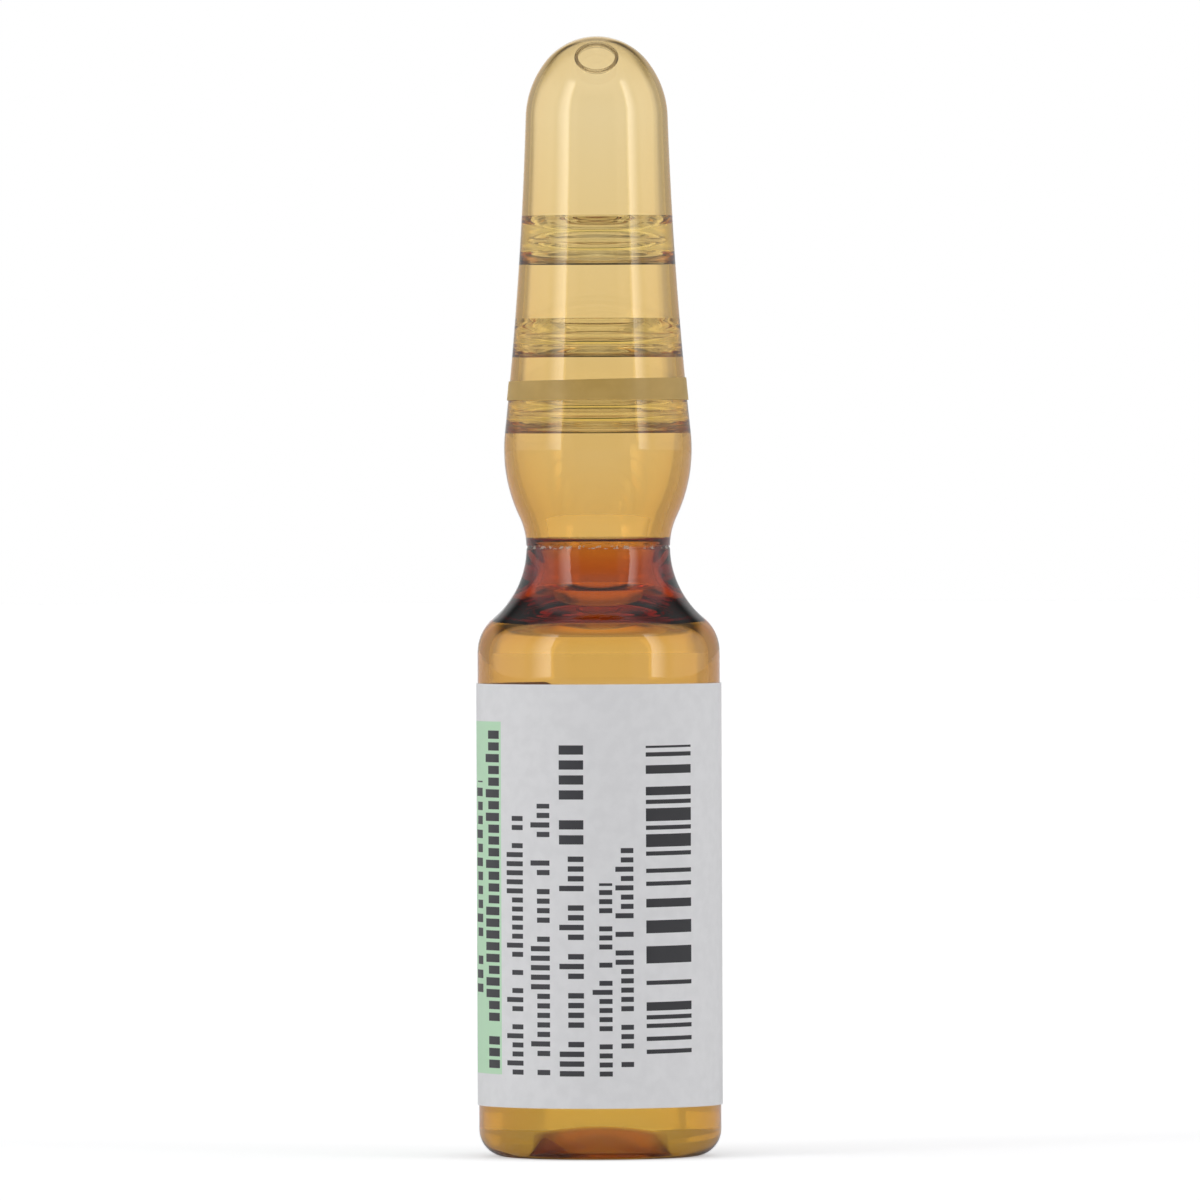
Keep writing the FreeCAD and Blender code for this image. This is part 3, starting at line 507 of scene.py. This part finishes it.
enamel, tree, shader, output = new_material("khaki_enamel")
place = add(tree, "ShaderNodeTexCoord").outputs["Object"]
cloud = noise(tree, place, 900.0, 4.0)
grit = add(tree, "ShaderNodeTexVoronoi", Vector=place, Scale=2600.0)
tone = blend(tree, ramp(tree, cloud, 0.35, 0.65), (0.73, 0.49, 0.14, 1), (0.80, 0.54, 0.165, 1))
roughness = add(tree, "ShaderNodeMapRange", Value=cloud, To_Min=0.28, To_Max=0.42)
relief = add(tree, "ShaderNodeBump", Strength=0.25, Distance=0.01 * MM, Height=grit.outputs["Distance"])
feed(tree, shader, "Base Color", tone)
feed(tree, shader, "Roughness", roughness.outputs["Result"])
feed(tree, shader, "Normal", relief.outputs[0])
through = add(tree, "ShaderNodeBsdfTransparent", Color=(0.85, 0.75, 0.55, 1))
feed(tree, output, "Surface", cover(tree, BARE_SHARE, shader.outputs[0], through.outputs[0]))
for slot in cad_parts["enamel_ring"].material_slots:
    slot.material = enamel


# The liquid charge: a clear solution that fills the barrel from the foot to
# well under the label's upper edge. It wets the glass, so its surface curls up
# all round where it meets the wall.

FILL_Z, MENISCUS_R = 7.4, 3.0
WETTING = math.radians(25.0)
FOOT_TOP = 3.0
HALVINGS, CURL_ROWS = 40, 16

# every face against the glass is drawn a hair inside the glass, so that light
# goes from one to the other with no air between them
LAP = 0.015

solution = clear_material("clear_solution", 1.34, (0.98, 0.96, 0.13, 1), 80.0, 300.0, 200.0, 0.02e-6)
wall = glass_profile(hollow=True, lap=LAP)
first_row = int(np.argmax(wall[:, 1] > FOOT_TOP))


def wall_radius(z):
    """Radius of the wetted wall at a height above the foot's corner."""
    return float(np.interp(z, wall[first_row:, 1], wall[first_row:, 0]))


def wetted(flat, radius, height, curl):
    """A surface from the axis out to the wall, level to a radius and then an arc.

    The arc curls up or down, and ends where halving the interval again and again
    finds the wall.
    """
    low, high = flat, flat + radius * 0.9999
    for _ in range(HALVINGS):
        middle = (low + high) / 2
        z = height + curl * (radius - math.sqrt(radius ** 2 - (middle - flat) ** 2))
        low, high = (middle, high) if middle < wall_radius(z) else (low, middle)
    angle = np.linspace(0.0, math.asin((low - flat) / radius), CURL_ROWS)
    points = np.stack([flat + radius * np.sin(angle), height + curl * radius * (1 - np.cos(angle))], axis=1)
    if flat > 0:
        points = np.concatenate([[(0.0, height), (flat * 0.5, height)], points])
    return points


def liquid_piece(name, node, rows, pocket=None):
    """A body of liquid turned from its profile, with a pocket of air in it if it has one."""
    shells = [lathe(rows)]
    if pocket is not None:
        shells.append(lathe(pocket, inward=True))
    piece = new_piece(name, shells, solution)
    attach(piece, "root")
    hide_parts(node)


surface = wetted(BARREL_R - WALLS["barrel"] - MENISCUS_R * math.cos(WETTING), MENISCUS_R, FILL_Z, 1)
below = (wall[:, 1] < surface[-1, 1]) & (np.arange(len(wall)) < len(wall) // 2)
liquid_piece("liquid_charge_surface", "liquid_charge", np.concatenate([wall[below], surface[::-1]]))


# The plug: liquid held across the narrow bore of the neck by its own surface.
# It reaches up to the ledge and hangs down to where the bore opens out.

PLUG_TOP_Z, PLUG_TOP_R = LEDGE_Z - 0.16, 30.0
PLUG_BOTTOM_Z, PLUG_BOTTOM_R = NECK_Z - 3.1, 3.0


def between_surfaces(lower, upper):
    """The profile of what lies between two surfaces and the wall between their rims."""
    z = wall[:, 1]
    side = (z > lower[-1, 1]) & (z < upper[-1, 1]) & (np.arange(len(wall)) >= first_row)
    return np.concatenate([lower, wall[side], upper[::-1]])


plug_top = wetted(0.0, PLUG_TOP_R, PLUG_TOP_Z, 1)
plug_bottom = wetted(0.0, PLUG_BOTTOM_R, PLUG_BOTTOM_Z, 1)
liquid_piece("plug_in_the_neck", "neck_plug", between_surfaces(plug_bottom, plug_top))


# The three foam films across the stem. Each is two films with a flat pocket of
# air between them. They curl into one rim of liquid at the glass, which closes
# round the pocket's edge.

POCKET_EDGE_R, FILM_THICKNESS = 0.14, 0.04

# the underside's curl has a radius of this many times its reach from the wall
CURL_TO_REACH = 1.2

# for each: height above the neck, half the pocket's height, how far out the pocket
# goes, how far out it is level, the radius of the curl on top, the reach of the one below
FILMS = {
    "film_lower": (5.85, 0.27, 2.78, 1.7, 6.2, 0.72),
    "film_middle": (9.30, 0.31, 2.52, 1.45, 4.2, 0.82),
    "film_upper": (13.55, 0.40, 2.20, 1.2, 3.0, 0.96),
}


def pocket_profile(height, flat, half, edge_x):
    """A flat pocket's profile: level to a radius, then an arc down to a small round edge."""
    long_r = ((edge_x - flat) ** 2 + half ** 2 - POCKET_EDGE_R ** 2) / (2 * (half - POCKET_EDGE_R))
    touch = math.degrees(math.atan2(long_r - half, edge_x - flat))
    upper = np.concatenate([
        arc((edge_x, 0.0), POCKET_EDGE_R, 0.0, touch, step=10.0),
        arc((flat, half - long_r), long_r, touch, 90.0, step=1.0),
        [(flat, half), (0.0, half)],
    ])
    profile = np.concatenate([upper[::-1] * (1, -1), upper[1:]])
    return profile + (0.0, height)


for name, (above_neck, half, edge, flat, curl, rim) in FILMS.items():
    z, reach = NECK_Z + above_neck, half + FILM_THICKNESS
    top = wetted(flat, curl, z + reach, 1)
    bottom = wetted(wall_radius(z) - rim, rim * CURL_TO_REACH, z - reach, -1)
    pocket = pocket_profile(z, flat, half, edge)
    liquid_piece(f"{name}_round_its_pocket", name, between_surfaces(bottom, top), pocket)


# The foot of a small foam bubble that sits on the inside of the tip, at the
# front: a ring of solution with hollow sides, three-cornered in section, which
# clings to the crown. Its solution absorbs strongly, as painted shade that makes the ring show as a dark
# outline.

BUBBLE_R, BUBBLE_RISE = 0.84, math.radians(45.5)
RING_IN, RING_OUT, RING_SIDES = 0.05, 0.10, 96
APEX_IN, APEX_DEPTH = 0.01, 0.2
INNER_SAG, OUTER_SAG = 0.05, 0.18

# the crown's circle, from a point of it and the top of the hollow on the axis
chord = cavity[-6]
crown_mid = (chord[0] ** 2 + chord[1] ** 2 - CROWN_Z ** 2) / (2 * (chord[1] - CROWN_Z))
crown_r = CROWN_Z - crown_mid
reach = math.sqrt(crown_r ** 2 - BUBBLE_R ** 2)


def hollow_side(start, end, sag, count=8):
    """Points along a side that bows inwards by its sag, its end point left out."""
    share = np.linspace(0.0, 1.0, count, endpoint=False)[:, None]
    start, end = np.array(start), np.array(end)
    across = np.array([start[1] - end[1], end[0] - start[0]])
    return start + (end - start) * share + across * sag * 4 * share * (1 - share)


# painted shade: this solution absorbs so strongly that the ring shows as a dark outline
painted_dark_solution = clear_material("solution_painted_dark", 1.36, (0.5, 0.4, 0.22, 1), 9000.0, 300.0, 200.0, 0.02e-6)
inner_corner, outer_corner = [
    (r, math.sqrt((crown_r + LAP) ** 2 - r ** 2) - reach)
    for r in (BUBBLE_R - RING_IN, BUBBLE_R + RING_OUT)
]
apex = (BUBBLE_R - APEX_IN, -APEX_DEPTH)
section = np.concatenate([
    hollow_side(outer_corner, inner_corner, 0.0, 4),
    hollow_side(inner_corner, apex, INNER_SAG),
    hollow_side(apex, outer_corner, OUTER_SAG),
])
ring_points, ring_faces, grid = turned(section, RING_SIDES, closed=True)
lean = Matrix.Rotation(math.radians(90.0) - BUBBLE_RISE, 3, "X")
seat = np.array([0.0, -reach * math.cos(BUBBLE_RISE), crown_mid + reach * math.sin(BUBBLE_RISE)])
ring_points = (ring_points @ np.array(lean).T + seat) * MM
foot_ring = new_piece("foam_bubble_foot", [(ring_points, ring_faces)], painted_dark_solution)
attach(foot_ring, "root")
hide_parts("tip_bubble")


# The paper label: a band of white coated paper glued round the barrel, with a
# gap at the back. Its print is plain: a green field at the left, rows of small
# blocks up the label and a bar pattern.

LABEL_THICKNESS = 0.07
LABEL_R = BARREL_R + LABEL_THICKNESS
CHANCE_SHIFTS = (0.37, 57.61)
LOW_SHARE = 0.62


def place_on(x):
    """Distance round the label from the middle of its front, for a place across the front."""
    return LABEL_R * math.asin(x / LABEL_R)


row, field, result = new_group(
    "row_of_blocks",
    {
        "Around": 0.0, "Up": 0.0, "Left": 0.0, "Right": 1.0, "Bottom": 0.0, "Top": 1.0,
        "Pitch": 0.3, "Seed": 0.0, "Share": 0.64, "Blanks": 0.14, "Low Blocks": 0.3,
    },
    {"Ink": "NodeSocketFloat"},
)
steps = maths(row, "DIVIDE", maths(row, "SUBTRACT", field["Up"], field["Bottom"]), field["Pitch"])
within = maths(row, "FRACT", steps)
number = maths(row, "FLOOR", steps)
chance = []
for shift in CHANCE_SHIFTS:
    white = row.nodes.new("ShaderNodeTexWhiteNoise")
    white.noise_dimensions = "1D"
    feed(row, white, "W", maths(row, "ADD", maths(row, "ADD", number, field["Seed"]), shift))
    chance.append(white.outputs["Value"])
across = maths(
    row, "DIVIDE", maths(row, "SUBTRACT", field["Around"], field["Left"]),
    maths(row, "SUBTRACT", field["Right"], field["Left"]),
)
low_block = maths(row, "MULTIPLY", maths(row, "LESS_THAN", chance[1], LOW_SHARE), field["Low Blocks"])
ink = maths(row, "GREATER_THAN", across, low_block)
for part in (
    maths(row, "LESS_THAN", across, 1.0),
    maths(row, "GREATER_THAN", field["Up"], field["Bottom"]),
    maths(row, "LESS_THAN", field["Up"], field["Top"]),
    maths(row, "LESS_THAN", within, field["Share"]),
    maths(row, "GREATER_THAN", chance[0], field["Blanks"]),
):
    ink = maths(row, "MULTIPLY", ink, part)
feed(row, result, "Ink", ink)

paper, tree, shader, output = new_material("label_paper")
place = add(tree, "ShaderNodeTexCoord").outputs["Object"]
east, north, up = axes(tree, place)
facing = maths(tree, "ARCTAN2", east, maths(tree, "MULTIPLY", north, -1.0))
around = maths(tree, "MULTIPLY", facing, LABEL_R)
height = maths(tree, "MULTIPLY", up, 1.0 / MM)
front_face = beyond(tree, place, (BARREL_R + LABEL_THICKNESS / 2) * MM)
fibre = noise(tree, place, 1800.0, 5.0)
printed = blend(tree, ramp(tree, fibre, 0.3, 0.7), (0.815, 0.815, 0.83, 1), (0.855, 0.855, 0.87, 1))


def print_on(under, mask, ink_colour):
    """Lays an ink over what is printed so far, on the paper's front face."""
    return blend(tree, maths(tree, "MULTIPLY", mask, front_face), under, ink_colour)


# the green field: its bands round the label and up it, with soft edges
GREEN = (0.56, 0.83, 0.58, 1)
GREEN_RIGHT = place_on(-4.35)
GREEN_ROUND = (-13.0, -12.98, GREEN_RIGHT, GREEN_RIGHT + 0.03)
GREEN_UP = (3.74, 3.77, 19.33, 19.36)
green = maths(tree, "MULTIPLY", window(tree, around, *GREEN_ROUND), window(tree, height, *GREEN_UP))
printed = print_on(printed, green, GREEN)

# rows up the label: left and right edge on the front, bottom, top, pitch, share
# of the pitch that is ink, share of blanks, and how much lower most blocks are
BLACK = (0.025, 0.025, 0.03, 1)
SOFT_BLACK = (0.045, 0.045, 0.052, 1)
BAR_LEAN = -0.011
SEED_STEP = 11.0
ROWS = [
    (-5.02, -4.43, 4.02, 19.02, 0.52, 0.70, 0.07, 0.22, SOFT_BLACK),
    (-5.41, -5.16, 6.72, 16.70, 0.62, 0.60, 0.20, 0.25, SOFT_BLACK),
    (-4.10, -3.38, 3.77, 15.25, 0.40, 0.55, 0.16, 0.34, SOFT_BLACK),
    (-3.04, -2.20, 3.77, 15.74, 0.42, 0.55, 0.15, 0.34, SOFT_BLACK),
    (-1.78, -0.70, 3.72, 13.50, 0.43, 0.56, 0.13, 0.36, SOFT_BLACK),
    (-1.78, -0.70, 13.95, 19.15, 0.66, 0.62, 0.05, 0.00, SOFT_BLACK),
    (-0.32, 0.56, 3.72, 12.24, 0.40, 0.55, 0.16, 0.34, SOFT_BLACK),
    (0.70, 1.50, 3.72, 13.92, 0.41, 0.55, 0.14, 0.30, SOFT_BLACK),
    (2.06, 4.05, 4.48, 18.26, 0.19, 1.01, 0.50, 0.00, BLACK),
]
skewed = maths(tree, "MULTIPLY_ADD", around, BAR_LEAN, height)
for number, (left_x, right_x, low, high, pitch, share, blanks, lower, ink_colour) in enumerate(ROWS):
    blocks = tree.nodes.new("ShaderNodeGroup")
    blocks.node_tree = row
    for title, value in (
        ("Around", around), ("Up", skewed if ink_colour is BLACK else height),
        ("Left", place_on(left_x)), ("Right", place_on(right_x)), ("Bottom", low), ("Top", high),
        ("Pitch", pitch), ("Seed", SEED_STEP * number), ("Share", share), ("Blanks", blanks),
        ("Low Blocks", lower),
    ):
        feed(tree, blocks, title, value)
    printed = print_on(printed, blocks.outputs["Ink"], ink_colour)

sheen = add(tree, "ShaderNodeMapRange", Value=fibre, To_Min=0.42, To_Max=0.55)
relief = add(tree, "ShaderNodeBump", Strength=0.2, Distance=0.01 * MM, Height=fibre)
feed(tree, shader, "Base Color", printed)
feed(tree, shader, "Roughness", sheen.outputs["Result"])
feed(tree, shader, "Normal", relief.outputs[0])
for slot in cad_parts["paper_label"].material_slots:
    slot.material = paper
